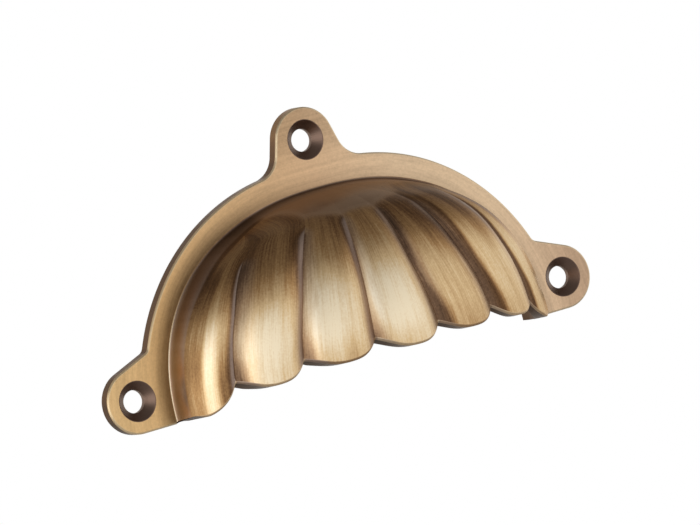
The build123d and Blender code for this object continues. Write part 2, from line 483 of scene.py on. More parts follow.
@dataclass(frozen=True)
class FlangeForm:
    """Sizes of the flange, its three lugs and their countersunk holes, in millimetres.

    Attributes:
        thickness, bottom_z: Thickness of the plate and height of its bottom edge.
        ring_radius, ring_x, ring_z: The half ring, drawn from a centre on each side of the middle.
        lug_x, lug_radius, lug_flare, lug_fillet: Place of the lower holes; radius and flanks of the lugs.
        top_z, top_radius, top_flare, top_fillet: The same of the top lug.
        edge_round: Radius of the front edge.
        hole_radius, sink_radius, sink_lip: Radii of the bores, of the countersinks and of their lips.
        lip_share: Share of a lip's radius that lies outside the countersink.
        cove_side, cove_top: Width of the cove beyond the foot arch, at the sides and at the top.
        step, bottom_points: Distance between the outline's points, and how many the bottom edge has.
    """

    thickness: float = 2.5
    bottom_z: float = -6.0
    ring_radius: float = 39.4
    ring_x: float = 5.1
    ring_z: float = -6.6
    lug_x: float = 46.0
    lug_radius: float = 6.0
    lug_flare: float = 21.0
    lug_fillet: float = 1.6
    top_z: float = 37.5
    top_radius: float = 6.05
    top_flare: float = 16.5
    top_fillet: float = 5.0
    edge_round: float = 0.4
    hole_radius: float = 2.1
    sink_radius: float = 3.65
    sink_lip: float = 0.25
    lip_share: float = 0.4
    cove_side: float = 0.1
    cove_top: float = 0.6
    step: float = 0.4
    bottom_points: int = 12

    def holes(self) -> tuple[tuple[float, float], ...]:
        """Centres (x, z) of the three screw holes."""
        return ((-self.lug_x, 0.0), (self.lug_x, 0.0), (0.0, self.top_z))

    def corner(self, start: Array, step: Array, outward: Array, radius: float) -> tuple[Array, float, float]:
        """Round inner corner between a straight flank and the ring.

        Its centre stands a radius off the flank and a radius outside the ring.

        Args:
            start: Where the flank starts (x, z).
            step: Unit direction of the flank towards the ring.
            outward: Unit direction out of the flank.
            radius: Radius of the corner.

        Returns:
            The centre, and the two angles in degrees where it meets the flank and the ring.
        """
        ring = np.array([self.ring_x, self.ring_z])
        away = start + outward * radius - ring
        along = float(away @ step)
        over = float(away @ away) - (self.ring_radius + radius) ** 2
        centre = ring + away + step * (-along - math.sqrt(along * along - over))
        to_ring = ring - centre
        flank_angle = math.degrees(math.atan2(-outward[1], -outward[0]))
        ring_angle = math.degrees(math.atan2(to_ring[1], to_ring[0]))
        return centre, flank_angle, ring_angle

    def half_outline(self, start_x: float) -> Array:
        """Right half of the outline, from the bottom edge round the lug and over the ring to the top.

        Args:
            start_x: Where the bottom edge starts, at the cove.

        Returns:
            Points (x, z), no two of them at one place.
        """
        flare = math.radians(self.lug_flare)
        taper = math.radians(self.top_flare)
        low_out = np.array([math.sin(flare), math.cos(flare)])
        low_start = np.array([self.lug_x, 0.0]) + self.lug_radius * low_out
        low_step = np.array([-math.cos(flare), math.sin(flare)])
        low, low_flank, low_ring = self.corner(low_start, low_step, low_out, self.lug_fillet)
        high_out = np.array([math.cos(taper), math.sin(taper)])
        high_start = np.array([0.0, self.top_z]) + self.top_radius * high_out
        high_step = np.array([math.sin(taper), -math.cos(taper)])
        high, high_flank, high_ring = self.corner(high_start, high_step, high_out, self.top_fillet)
        bottom = np.linspace([start_x, self.bottom_z], [self.lug_x, self.bottom_z], self.bottom_points)
        pieces = [
            bottom,
            arc((self.lug_x, 0.0), self.lug_radius, -90.0, 90.0 - self.lug_flare, self.step),
            arc(tuple(low), self.lug_fillet, low_flank % 360.0, low_ring % 360.0, self.step / 2),
            arc((self.ring_x, self.ring_z), self.ring_radius,
                low_ring % 360.0 - 180.0, high_ring % 360.0 - 180.0, self.step),
            arc(tuple(high), self.top_fillet, high_ring % 360.0, high_flank % 360.0, self.step / 2),
            arc((0.0, self.top_z), self.top_radius, self.top_flare, 90.0, self.step),
        ]
        points = np.concatenate(pieces)
        gap = np.linalg.norm(np.diff(points, axis=0), axis=1) > TOUCH
        return points[np.concatenate([[True], gap])]

    def outline(self, start_x: float) -> tuple[Array, Array]:
        """Whole outline from the right end of the bottom edge over the top to the left end.

        Args:
            start_x: Where the bottom edge starts, at the cove.

        Returns:
            Points (x, z) and outward directions.
        """
        right = self.half_outline(start_x)
        left = right[-2::-1] * MIRROR
        points = np.concatenate([right, left])
        ahead = np.diff(points, axis=0, append=points[-1:] * 2 - points[-2:-1])
        behind = np.diff(points, axis=0, prepend=points[:1] * 2 - points[1:2])
        tangent = unit(unit(ahead) + unit(behind))
        return points, np.stack([tangent[:, 1], -tangent[:, 0]], axis=-1)


@dataclass
class Casting:
    """The brass casting: a flange with three lugs and the fluted shell that stands on it.

    Attributes:
        shell, flange: Sizes of the two.
        rows, crowding: Rows of a flute's grid, and the power that crowds them at the roof.
        flute_columns, edge_columns: Columns of a flute, and those of an end flute outside the hollow.
        cove_rows, hollow_rows: Points across the cove and rows of the hollow.
        groove_ends, groove_turn: Where the grooves meet the foot arch, and over which height they turn there.
        foot_lift: Height above the bottom edge where the hollow's width at its foot is taken.
        groove_fade, flow_fade: Heights from the arch between which grooves and flutes leave the finish.
        roof_fade: How much the roof takes from the grooves.
        cove_power: How fast the cove narrows from the top of the arch to its sides.
        probe, least_steep, least_lean: Step inwards that finds the wall's slope, and limits of the slope.
        highlight_place, highlight_width: Place and width of the painted highlight line in the cove, as shares
            of its way.
        highlight_place, highlight_width: Place and width of the light line in the cove, as shares of its way.
        crease: Angle in degrees up to which normals are joined.
        patches: Surfaces so far.
        sole: Places across of the points on the left foot's underside.
    """

    shell: ShellForm = field(default_factory=ShellForm)
    flange: FlangeForm = field(default_factory=FlangeForm)
    rows: int = 96
    crowding: float = 2.25
    flute_columns: int = 34
    edge_columns: int = 10
    cove_rows: int = 15
    hollow_rows: int = 41
    groove_ends: tuple[float, float, float] = (19.6, 9.8, 3.1)
    groove_turn: float = 3.0
    foot_lift: float = 0.4
    groove_fade: tuple[float, float] = (-5.5, -1.5)
    flow_fade: tuple[float, float] = (-7.0, -2.8)
    roof_fade: float = 0.6
    cove_power: float = 1.5
    probe: float = 0.05
    least_steep: float = 0.3
    least_lean: float = 0.001
    start_handle: float = 0.55
    end_handle: tuple[float, float, float] = (0.45, 0.3, 0.8)
    highlight_place: float = 0.22
    highlight_width: float = 0.13
    crease: float = 16.0
    patches: list[Patch] = field(default_factory=list)
    sole: list[Array] = field(default_factory=list)

    def place(self, x: Array, forward: Array, z: Array) -> Array:
        """Points from x, the reach forward of the flange's front face, and z."""
        x, forward, z = np.broadcast_arrays(x, forward, z)
        return np.stack([x, -self.flange.thickness - forward, z], axis=-1)

    def groove_end(self, number: int) -> Array:
        """Where a grid line that follows a groove ends on the wall's arch, (x, z).

        Args:
            number: Groove from 1 at the left to 6 at the right.

        Returns:
            The point.
        """
        left = number < 4
        end = self.groove_ends[number - 1 if left else 6 - number]
        x = -end if left else end
        return np.array([x, float(self.shell.arch_height(np.array(x), self.shell.wall_inset))])

    def rise_curve(self) -> Array:
        """How far up the rows stand, from 0 at the rim to 1 at the foot arch, close together at the roof."""
        v = np.linspace(0.0, 1.0, self.rows + 1)
        return 1.0 - (1.0 - v) ** self.crowding

    def foot_x(self) -> float:
        """Half width of the wall's arch at the flange's bottom."""
        return float(self.shell.arch_width(np.array(self.shell.bottom_z), self.shell.wall_inset))

    def rim_edge(self, x: Array) -> tuple[Array, Array]:
        """Height of the rim and the radius of its rounded outer edge, which fades out at the feet."""
        return self.shell.rim(x), self.shell.rim_round * smooth(self.foot_x() - np.abs(x), 0.0, 2.0)

    def groove_line(self, number: int) -> tuple[Array, Array]:
        """Grid line along a groove, from its notch to the foot arch.

        Args:
            number: Groove from 1 at the left to 6 at the right.

        Returns:
            Its x and z at each row.
        """
        start = self.shell.notch_x()[number - 1]
        height, edge = self.rim_edge(np.array([start]))
        low = height[0] + edge[0]
        end = self.groove_end(number)
        z = low + (end[1] - low) * self.rise_curve()
        x = self.shell.fractions(z)[:, number] * self.shell.arch_width(z)
        turn = smooth(z, end[1] - self.groove_turn, end[1])
        x = x * (1.0 - turn) + end[0] * turn
        x[0] = start
        return x, z

    def flute_shares(self, lobe: int) -> Array:
        """Column places across a flute, from 0 to 1; the end flutes have one where the hollow starts.

        Args:
            lobe: Number of the flute, from 0 to 6.

        Returns:
            Rising shares of the way across.
        """
        even = np.linspace(0.0, 1.0, self.flute_columns + 1)
        if 0 < lobe < 6:
            return even
        foot = self.foot_x()
        notch = self.shell.notch_x()[-1]
        edge = (foot - self.hollow_edge()) / (foot - notch)
        outside = np.linspace(0.0, edge, self.edge_columns)
        inside = np.linspace(edge, 1.0, self.flute_columns + 2 - self.edge_columns)
        shares = np.concatenate([outside, inside[1:]])
        return shares if lobe == 0 else 1.0 - shares[::-1]

    def hollow_edge(self) -> float:
        """Half width of the hollow at the flange's bottom."""
        return float(self.shell.hollow_width(np.array(self.shell.bottom_z + self.foot_lift)))

    def flute_grid(self, lobe: int) -> tuple[Array, Array, Array]:
        """Plan places of a flute's grid, between its two grooves, the rim and the foot arch.

        A middle flute's columns run from the rim to the arch. An end flute's rows run from its groove to the
        arch and shrink to a point where the groove meets it.

        Args:
            lobe: Number of the flute, from 0 to 6.

        Returns:
            x and z of the grid, and the place of each column across the flute.
        """
        s = self.flute_shares(lobe)
        g = self.rise_curve()[:, None]
        inset = self.shell.wall_inset
        if 0 < lobe < 6:
            left_x, _ = self.groove_line(lobe)
            right_x, _ = self.groove_line(lobe + 1)
            x = left_x[:, None] + (right_x - left_x)[:, None] * s
            top = self.shell.arch_height(x[-1], inset)
        else:
            groove = 1 if lobe == 0 else 6
            groove_x, _ = self.groove_line(groove)
            end = self.groove_end(groove)
            foot_z = self.shell.bottom_z + (end[1] - self.shell.bottom_z) * self.rise_curve()
            foot_x = self.shell.arch_width(foot_z, inset) * (-1.0 if lobe == 0 else 1.0)
            first, second = (foot_x, groove_x) if lobe == 0 else (groove_x, foot_x)
            x = first[:, None] + (second - first)[:, None] * s
            x[-1] = end[0]
            top = np.full_like(s, end[1])
        height, edge = self.rim_edge(x[0])
        bottom = height + edge
        return x, bottom + (top - bottom) * g, s

    def build_shell(self) -> tuple[Array, Array, Array]:
        """Outside of the shell, one grid for each flute.

        Returns:
            The line where the shell meets the cove (x, z), the places across of the rim and its groove marks.
        """
        foot, rim, marked = [], [], []
        for lobe in range(7):
            x, z, s = self.flute_grid(lobe)
            forward = self.shell.height(x, z)
            roof = self.shell.roof_share(x, z)
            near = np.minimum(s, 1.0 - s) * 2.0
            if lobe in (0, 6):
                near = np.where((s < 0.5) == (lobe == 0), 1.0, near)
            near = np.broadcast_to(near, x.shape)
            fade = (1.0 - self.roof_fade * roof) * (1.0 - smooth(z - z[-1], *self.groove_fade))
            marks = {
                "flute": lobe + np.broadcast_to(s, x.shape),
                "flow": 1.0 - smooth(z - z[-1], *self.flow_fade),
                "groove": (1.0 - near) * fade * np.where(s < 0.5, 1.0, -1.0),
                "roof": roof,
                "shell": np.ones_like(x),
            }
            self.patches.append(grid_patch(self.place(x, forward, z), FRONT, Zone.SHELL, marks))
            line = np.stack([x, z], axis=-1)
            line = {0: line[:, 0], 6: line[::-1, -1]}.get(lobe, line[-1])
            first = 0 if lobe == 0 else 1
            rim.append(x[0, first:])
            marked.append(marks["groove"][0, first:])
            foot.append(line[first:])
        return np.concatenate(foot), np.concatenate(rim), np.concatenate(marked)

    def build_cove(self, foot: Array) -> Array:
        """Cove round the shell: a cubic from the flange to the wall that is tangent to both.

        Args:
            foot: Line on the wall (x, z) where the cove ends.

        Returns:
            Line on the flange (x, z) where the cove starts.
        """
        normal = self.shell.arch_normal(foot[:, 0], foot[:, 1])
        side = np.abs(normal[:, :1])
        top = self.flange.cove_top
        beyond = top + (self.flange.cove_side - top) * side ** self.cove_power
        gap = self.shell.wall_inset * (side + self.shell.top_inset * np.abs(normal[:, 1:]))
        width = gap + beyond
        start = foot + normal * width
        start[[0, -1], 1] = self.flange.bottom_z + self.flange.edge_round
        reach = self.shell.height(foot[:, 0], foot[:, 1])[:, None]
        probe = normal * self.probe
        inside = foot - probe
        lift = self.shell.height(inside[:, 0], inside[:, 1])[:, None] - reach
        slope = unit(np.concatenate([-probe, lift], axis=1))
        steep = np.clip(slope[:, 2:], self.least_steep, None)
        lean = np.clip(np.linalg.norm(slope[:, :2], axis=1, keepdims=True) / steep, self.least_lean, None)
        kept, least, most = self.end_handle
        handle = np.clip(reach - width * kept, reach * least, width * most / lean)
        controls = [
            np.concatenate([start, np.zeros_like(reach)], axis=1),
            np.concatenate([start - normal * width * self.start_handle, np.zeros_like(reach)], axis=1),
            np.concatenate([foot, reach], axis=1) - slope * handle / steep,
            np.concatenate([foot, reach], axis=1),
        ]
        t = np.linspace(0.0, 1.0, self.cove_rows)[:, None, None]
        weights = ((1 - t) ** 3, 3 * t * (1 - t) ** 2, 3 * t ** 2 * (1 - t), t ** 3)
        curve = sum(weight * control for weight, control in zip(weights, controls))
        curve[:, [0, -1], 1] = start[[0, -1], 1] + (foot[[0, -1], 1] - start[[0, -1], 1]) * t[..., 0]
        grid = self.place(curve[..., 0], curve[..., 2], curve[..., 1])
        share = np.broadcast_to(t[..., 0], curve.shape[:2])
        left = np.broadcast_to(foot[:, 0] < 0.0, share.shape)
        roof = np.broadcast_to(self.shell.roof_share(foot[:, 0], foot[:, 1]), share.shape)
        # A painted highlight line along the cove's sides.
        line = np.exp(-((share - self.highlight_place) / self.highlight_width) ** 2) * smooth(side[:, 0], 0.5, 0.9)
        marks = {
            "cove": np.sin(share * math.pi),
            "shell": smooth(share, 0.0, 0.15),
            "roof": roof,
            "line": line,
            "flute": np.where(left, 0.0, 7.0),
            "flow": smooth(share, 0.4, 1.0) * (1.0 - roof),
        }
        self.patches.append(grid_patch(grid, FRONT, Zone.SHELL, marks))
        self.sole.append(grid[:, 0, 0])
        turn = QUARTER[:, None]
        bend = self.flange.edge_round * (1.0 - t[:, 0, 0])
        sunk = bend * (1.0 - np.cos(turn))
        offset = np.stack([np.zeros_like(sunk), sunk, -bend * np.sin(turn)], axis=-1)
        for column in (0, -1):
            front = grid[:, column]
            back = np.zeros_like(front)
            back[:, 0] = front[:, 0]
            back[:, 2] = self.flange.bottom_z
            end = np.concatenate([front + offset, back[None]])
            self.patches.append(grid_patch(end, DOWN, Zone.UNDER))
        return start

    def build_rim(self, x: Array, grooves: Array) -> Array:
        """Rounded edge and end faces of the rim, which run back along the casting's draw.

        Args:
            x: Places across of the rim's columns.
            grooves: Groove marks of the columns.

        Returns:
            The inner edge of the rim where the hollow starts.
        """
        z, edge = self.rim_edge(x)
        lobe = (x[:, None] > self.shell.notch_x() + NO_LENGTH).sum(axis=1)
        forward = self.shell.height(x, z + edge)
        turn = QUARTER[:, None]
        lip = self.place(x, forward - edge * (1.0 - np.cos(turn)), z + edge * (1.0 - np.sin(turn)))
        # The lip takes the painted shade and reflection of a wall left of a groove, and darker painted shade
        # right of the grooves
        shading = -0.72 - 0.28 * smooth(grooves, 0.4, 0.8)
        marks = {
            "flute": np.broadcast_to(lobe + 0.5, lip.shape[:2]),
            "shell": np.ones(lip.shape[:2]),
            "groove": np.broadcast_to(shading, lip.shape[:2]),
        }
        self.patches.append(grid_patch(lip, FRONT + DOWN, Zone.SHELL, marks))
        across = np.abs(x)
        limit = self.hollow_edge()
        inner = across <= limit + TOUCH
        outside = across >= limit - TOUCH
        inside = self.shell.hollow(x, z)
        inside[outside] = 0.0
        start = forward - edge
        drop = self.shell.lip_drop * (z - self.shell.crest_line(x)).clip(0.0)
        back_z = (z - (start - inside) * self.shell.end_slope - drop).clip(self.shell.bottom_z)
        back_z[outside] = self.shell.bottom_z
        face = np.stack([self.place(x, start, z), self.place(x, inside, back_z)])[:, inner]
        self.patches.append(grid_patch(face, DOWN, Zone.EDGE))
        for outer in (outside & (x < 0.0), outside & (x > 0.0)):
            end = np.stack([self.place(x[outer], start[outer], z[outer]),
                            self.place(x[outer], -self.flange.thickness, self.shell.bottom_z)])
            self.patches.append(grid_patch(end, DOWN, Zone.UNDER))
        self.sole.append(x[outside & (x < 0.0)])
        for side, outward in ((0, -1.0), (-1, 1.0)):
            tip = self.place(face[0, side, 0], -self.flange.thickness, self.shell.bottom_z)
            corner = np.array([face[:, side], [tip, tip]])
            self.patches.append(grid_patch(corner, np.array([outward, 0.0, 0.0]), Zone.UNDER))
        return face[1]

    def build_hollow(self, rim: Array) -> Array:
        """Inside of the shell: rows from the rim to the vault, the side walls through the flange and the cap.

        Args:
            rim: Inner edge of the rim.

        Returns:
            Outline (x, z) of the hollow on the back face, from its left foot to its right foot.
        """
        share = rim[:, 0] / self.shell.hollow_width(rim[:, 2])
        share[[0, -1]] = (-1.0, 1.0)
        v = np.linspace(0.0, 1.0, self.hollow_rows)[:, None]
        z = rim[:, 2] + (self.shell.hollow_top - rim[:, 2]) * v
        x = share * self.shell.hollow_width(z)
        x[0] = rim[:, 0]
        forward = self.shell.hollow(x, z)
        forward[:, [0, -1]] = 0.0
        forward[0] = -self.flange.thickness - rim[:, 1]
        grid = self.place(x, forward, z)
        self.patches.append(grid_patch(grid, -FRONT, Zone.INSIDE))
        for column, inward in ((0, 1.0), (-1, -1.0)):
            wall = np.stack([grid[:, column], grid[:, column] * TO_BACK])
            self.patches.append(grid_patch(wall, np.array([inward, 0.0, 0.0]), Zone.INSIDE))
        cap = np.stack([grid[-1], grid[-1] * TO_BACK])
        self.patches.append(grid_patch(cap, DOWN, Zone.INSIDE))
        left = grid[:, 0][:, [0, 2]]
        top = grid[-1][1:-1][:, [0, 2]]
        right = grid[::-1, -1][:, [0, 2]]
        return np.concatenate([left, top, right])

    def build_flange(self, cove: Array, hollow: Array) -> None:
        """Front and back faces, rounded edge, side wall and countersunk holes of the flange.

        Args:
            cove: Line (x, z) where the cove starts on the front face, from left to right.
            hollow: Outline (x, z) of the hollow on the back face, from left to right.
        """
        form = self.flange
        points, outward = form.outline(cove[-1, 0])
        turn = QUARTER[:, None, None]
        plan = points - outward * form.edge_round * (1.0 - np.sin(turn))
        edge = self.place(plan[..., 0], -form.edge_round * (1.0 - np.cos(turn[..., 0])), plan[..., 1])
        facing = np.stack([outward[:, 0], np.zeros(len(points)), outward[:, 1]], axis=-1)
        # The rounded edge is brighter at its middle: rubbed bare brass, with a painted highlight along the
        # round.
        wear = {"wear": np.broadcast_to(np.sin(turn[..., 0] * 2.0), edge.shape[:2])}
        self.patches.append(grid_patch(edge, facing, Zone.FLANGE, wear))
        wall = np.stack([edge[-1], edge[-1] * TO_BACK])
        self.patches.append(grid_patch(wall, facing, Zone.EDGE))
        lip = form.sink_radius + form.sink_lip * form.lip_share
        loop = np.concatenate([plan[0], cove[1:-1]])
        sinks = [(x, z, lip) for x, z in form.holes()]
        inner = self.flange_points(cove, lip)
        self.patches.append(plane_patch(loop, inner, sinks, -form.thickness, -1.0, Zone.FLANGE))
        sole = np.concatenate(self.sole)
        corners = np.stack([sole, np.full_like(sole, form.bottom_z)], axis=-1)
        back = np.concatenate([points, corners, hollow, corners[::-1] * MIRROR])
        gap = np.linalg.norm(np.diff(back, axis=0, append=back[:1]), axis=1) > SAME_POINT
        bores = [(x, z, form.hole_radius) for x, z in form.holes()]
        self.patches.append(plane_patch(back[gap], np.zeros((0, 2)), bores, 0.0, 1.0, Zone.EDGE))
        for x, z in form.holes():
            self.build_sink(x, z, lip)

    def flange_points(self, cove: Array, lip: float) -> Array:
        """Points inside the flange's front face that keep its triangles even.

        They lie on offsets of the cove and on rings round the holes, clear of the outline and the holes.

        Args:
            cove: Line (x, z) where the cove starts.
            lip: Radius of the holes' lips.

        Returns:
            Points (x, z).
        """
        form = self.flange
        margin = 0.9
        normal = self.shell.arch_normal(cove[:, 0], cove[:, 1])
        rows = [(cove + normal * off)[4:-4:6] for off in (0.8, 1.6, 2.4)]
        rings = [arc(hole, lip + off, 0.0, 360.0, margin)[:-1] for hole in form.holes() for off in (0.6, 1.2)]
        points = np.concatenate(rows + rings)
        side = np.clip(np.abs(points[:, 0]) - form.ring_x, 0.0, None)
        inside = np.hypot(side, points[:, 1] - form.ring_z) < form.ring_radius - margin
        clear = points[:, 1] > form.bottom_z + 0.8
        for x, z in form.holes():
            off = np.hypot(points[:, 0] - x, points[:, 1] - z)
            inside |= off < form.lug_radius - margin
            clear &= off > lip + 0.3
        return points[inside & clear]

    def build_sink(self, x: float, z: float, lip: float) -> None:
        """One countersunk hole: a rounded lip, a cone at 45 degrees and the plain bore behind it.

        Args:
            x: Place across of its axis.
            z: Height of its axis.
            lip: Radius where the lip leaves the front face.
        """
        form = self.flange
        ring = circle(0.0, 0.0, 1.0)
        ring = np.concatenate([ring, ring[:1]])
        turn = np.radians(np.linspace(0.0, 45.0, 5))
        radius = lip - form.sink_lip * np.sin(turn)
        depth = form.sink_lip * (1.0 - np.cos(turn))
        cone = np.linspace(radius[-1], form.hole_radius, 7)[1:]
        depth = np.concatenate([depth, depth[-1] + radius[-1] - cone])
        radius = np.concatenate([radius, cone])
        profile = np.stack([radius, depth], axis=-1)
        bore = np.array([[form.hole_radius, depth[-1]], [form.hole_radius, form.thickness]])
        inward = np.stack([-ring[:, 0], np.zeros(len(ring)), -ring[:, 1]], axis=-1)
        for line in (profile, bore):
            radius, depth = line[:, :1], line[:, 1:]
            grid = self.place(x + radius * ring[:, 0], -depth, z + radius * ring[:, 1])
            self.patches.append(grid_patch(grid, inward, Zone.SINK))

    def build(self) -> bpy.types.Object:
        """Builds all the surfaces and joins them in one closed mesh.

        Returns:
            The casting's object, at the origin.
        """
        foot, rim, grooves = self.build_shell()
        cove = self.build_cove(foot)
        inner = self.build_rim(rim, grooves)
        hollow = self.build_hollow(inner)
        self.build_flange(cove, hollow)
        return self.join("cup_pull_casting")

    def join(self, name: str) -> bpy.types.Object:
        """Welds the patches and gives each corner its own normal and marks.

        Args:
            name: Name of the new object.

        Returns:
            The object.
        """
        counts = np.cumsum([0] + [len(p.points) for p in self.patches])
        points = np.concatenate([p.points for p in self.patches])
        normals = np.concatenate([p.normals for p in self.patches])
        faces = np.concatenate([p.faces + start for p, start in zip(self.patches, counts)])
        rounded = np.round(points, WELD_DIGITS)
        _, first, weld = np.unique(rounded, axis=0, return_index=True, return_inverse=True)
        weld = weld.reshape(-1)
        mean = np.zeros((len(first), 3))
        np.add.at(mean, weld, normals)
        mean = unit(mean)[weld]
        close = np.sum(mean * normals, axis=1) > math.cos(math.radians(self.crease))
        normals = np.where(close[:, None], mean, normals)
        welded = weld[faces]
        same = welded == np.roll(welded, -1, axis=1)
        whole = faces[same.sum(axis=1) == 0]
        cut = same.sum(axis=1) == 1
        triangles = faces[cut][~same[cut]].reshape(-1, 3)
        corners = np.concatenate([whole.reshape(-1), triangles.reshape(-1)])
        mesh = bpy.data.meshes.new(name)
        mesh.from_pydata((points[first] * MM).tolist(), [], weld[whole].tolist() + weld[triangles].tolist())
        mesh.polygons.foreach_set("use_smooth", np.ones(len(mesh.polygons), bool))
        values = {mark: [p.marks.get(mark, np.zeros(len(p.points))) for p in self.patches] for mark in MARKS}
        values["zone"] = [np.full(len(p.points), p.zone.value) for p in self.patches]
        for mark, rows in values.items():
            carried = np.concatenate(rows)[corners].astype(np.float32)
            mesh.attributes.new(mark, "FLOAT", "CORNER").data.foreach_set("value", carried)
        mesh.normals_split_custom_set(normals[corners])
        mesh.update()
        result = bpy.data.objects.new(name, mesh)
        bpy.context.scene.collection.objects.link(result)
        return result


class Graph:
    """Short ways to add shader nodes to one node tree; a socket with a name can be given by that name."""

    def __init__(self, tree: bpy.types.NodeTree) -> None:
        """Keeps the tree and clears it.

        Args:
            tree: Node tree of a material or of the world.
        """
        self.tree = tree
        self.named: dict[str, Socket] = {}
        tree.nodes.clear()

    def node(self, kind: str, *values: Value, **settings: object) -> bpy.types.Node:
        """New node of a kind, with its first inputs fed and its properties set.

        Args:
            kind: Blender's name for the node.
            values: What the first inputs take, in order.
            settings: Properties of the node by name.

        Returns:
            The node.
        """
        node = self.tree.nodes.new(kind)
        for name, setting in settings.items():
            setattr(node, name, setting)
        for socket, value in zip(node.inputs, values):
            self.feed(socket, value)
        return node

    def feed(self, socket: Socket, value: Value) -> None:
        """Links a socket to another node's output, or sets it to a plain value.

        Args:
            socket: Input of a node.
            value: An output, the name of one, or a plain value.
        """
        if isinstance(value, str):
            value = self.named[value]
        if isinstance(value, bpy.types.NodeSocket):
            self.tree.links.new(value, socket)
        else:
            socket.default_value = value

    def math(self, operation: str, *values: Value) -> Socket:
        """Result of a math node."""
        return self.node("ShaderNodeMath", *values, operation=operation).outputs[0]

    def product(self, *values: Value) -> Socket:
        """All the values multiplied."""
        return reduce(partial(self.math, "MULTIPLY"), values)

    def total(self, *values: Value) -> Socket:
        """All the values added."""
        return reduce(partial(self.math, "ADD"), values)

    def ramp(self, value: Value, low: Value, high: Value, start: float = 0.0, end: float = 1.0) -> Socket:
        """Value that goes smoothly from start to end while the input goes from low to high."""
        kind = {"interpolation_type": "SMOOTHSTEP", "clamp": True}
        return self.node("ShaderNodeMapRange", value, low, high, start, end, **kind).outputs[0]

    def mark(self, name: str) -> Socket:
        """Number that the mesh carries at its corners."""
        return self.node("ShaderNodeAttribute", attribute_name=name).outputs["Fac"]

    def vector(self, x: Value, y: Value, z: Value = 0.0) -> Socket:
        """Vector of three numbers."""
        return self.node("ShaderNodeCombineXYZ", x, y, z).outputs[0]

    def split(self, vector: Value) -> tuple[Socket, ...]:
        """The three numbers of a vector."""
        return tuple(self.node("ShaderNodeSeparateXYZ", vector).outputs)

    def scale(self, vector: Value, factor: Value) -> Socket:
        """Vector or colour times a number.

        Args:
            vector: Vector or colour.
            factor: Number.

        Returns:
            The scaled vector.
        """
        node = self.node("ShaderNodeVectorMath", vector, operation="SCALE")
        self.feed(node.inputs["Scale"], factor)
        return node.outputs[0]

    def noise(self, vector: Value, layer: "Grain") -> Socket:
        """Noise from 0 to 1 at a vector, for one layer of the brushed surface.

        Args:
            vector: Where the noise is read.
            layer: Its numbers.

        Returns:
            The noise.
        """
        node = self.node("ShaderNodeTexNoise", vector)
        for name, value in (("Scale", layer.scale), ("Detail", layer.detail), ("Roughness", layer.rough)):
            node.inputs[name].default_value = value
        return node.outputs["Fac"]

    def blend(self, share: Value, first: Value, second: Value, kind: str = "RGBA") -> Socket:
        """Mix of two colours or vectors; each kind of value has its own pair of inputs and its own output.

        Args:
            share: Share of the second, from 0 to 1.
            first: What a share of 0 gives.
            second: What a share of 1 gives.
            kind: RGBA, VECTOR or FLOAT.

        Returns:
            The mix.
        """
        node = self.node("ShaderNodeMix", share, data_type=kind)
        group = ("FLOAT", "VECTOR", "RGBA").index(kind)
        self.feed(node.inputs[2 * group + 2], first)
        self.feed(node.inputs[2 * group + 3], second)
        return node.outputs[group]

    def mix(self, share: Value, first: Value, second: Value) -> Socket:
        """Mix of two numbers."""
        return self.blend(share, first, second, "FLOAT")

    def steps(self, value: Value, colours: Colours) -> Socket:
        """Colour read off a row of colours at given places.

        Args:
            value: Place on the row, from 0 to 1.
            colours: Places and their colours.

        Returns:
            The colour.
        """
        node = self.node("ShaderNodeValToRGB", value)
        points = node.color_ramp.elements
        while len(points) < len(colours):
            points.new(0.5)
        for point, (place, colour) in zip(points, colours):
            point.position = place
            point.color = (*colour, 1.0)
        return node.outputs["Color"]


@dataclass(frozen=True)
class Grain:
    """One layer of the brushed surface: scale, detail and roughness of its noise, and its weight."""

    scale: float
    detail: float
    rough: float
    weight: float


@dataclass(frozen=True)
class PaintedLightAndPatina:
    """A place on the flutes painted darker or brighter than the rest, mostly as light and shade: smooth
    ramps, multiplied.

    Attributes:
        name: What it is, which labels its node.
        amount: What it adds to the tone where all its ramps are 1; a negative amount darkens.
        ramps: For each ramp what it reads, where it starts and ends, and its values there if not 0 and 1.
        weight: A reading that the product is multiplied with, or nothing.
    """

    name: str
    amount: float
    ramps: tuple[tuple, ...]
    weight: str = ""

    def build(self, graph: Graph) -> Socket:
        """Adds the place's nodes and gives what it adds to the tone.

        Args:
            graph: The material's nodes.

        Returns:
            A number, less than 0 where the place darkens.
        """
        factors = [graph.ramp(source, *numbers) for source, *numbers in self.ramps]
        if self.weight:
            factors.append(self.weight)
        result = graph.product(*factors, self.amount)
        result.node.label = self.name
        return result


